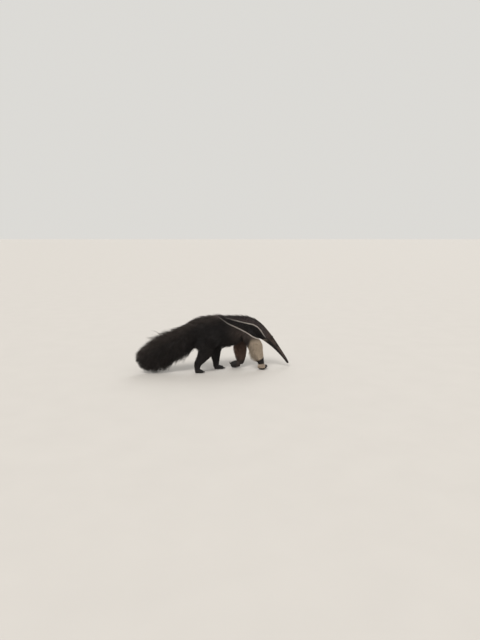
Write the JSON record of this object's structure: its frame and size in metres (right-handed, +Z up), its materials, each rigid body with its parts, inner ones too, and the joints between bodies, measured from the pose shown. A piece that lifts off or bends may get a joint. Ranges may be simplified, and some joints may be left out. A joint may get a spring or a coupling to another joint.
{
  "type": "giant anteater",
  "caption": "Life-size still model of a giant anteater in mid stride: long bowed head, crested back, striped shoulder, pale foreleg and a large bushy hanging tail.",
  "frame": {"origin": "on the floor, in the middle of the space that the animal fills", "axes": "+X forward, from tail to nose; +Y to the animal's left; +Z up"},
  "size_m": [1.7786, 0.2956, 0.6715],
  "materials": {
    "coat_black": "long coarse black-brown fur",
    "coat_grizzled": "long coarse grizzled dark fur",
    "coat_grey": "short close grey-brown fur",
    "coat_brown": "brown fur",
    "coat_pale": "cream white fur",
    "claw_horn": "dark satin horn",
    "eye_dark": "wet gloss",
    "nose_skin": "damp dark skin"
  },
  "bodies": {
    "root": {"nose": "nose_skin", "snout": "coat_grey", "head": "coat_grey", "ear_left": "coat_grey", "ear_right": "coat_grey", "eye_left": "eye_dark", "eye_right": "eye_dark", "neck": "coat_black", "chest": "coat_black", "belly": "coat_black", "rump": "coat_black", "tail_base": "coat_grizzled", "tail_middle": "coat_grizzled", "tail_end": "coat_grizzled", "upper_arm_left": "coat_brown", "forearm_left": "coat_brown", "hand_left": "coat_brown", "upper_arm_right": "coat_pale", "forearm_right": "coat_pale", "hand_right": "coat_pale", "thigh_left": "coat_black", "shank_left": "coat_black", "foot_left": "coat_black", "thigh_right": "coat_black", "shank_right": "coat_black", "foot_right": "coat_black", "claw_front_left_1": "claw_horn", "claw_front_left_2": "claw_horn", "claw_front_left_3": "claw_horn", "claw_front_left_4": "claw_horn", "claw_front_right_1": "claw_horn", "claw_front_right_2": "claw_horn", "claw_front_right_3": "claw_horn", "claw_front_right_4": "claw_horn", "claw_hind_left_1": "claw_horn", "claw_hind_left_2": "claw_horn", "claw_hind_left_3": "claw_horn", "claw_hind_left_4": "claw_horn", "claw_hind_left_5": "claw_horn", "claw_hind_right_1": "claw_horn", "claw_hind_right_2": "claw_horn", "claw_hind_right_3": "claw_horn", "claw_hind_right_4": "claw_horn", "claw_hind_right_5": "claw_horn"}
  },
  "joints": []
}
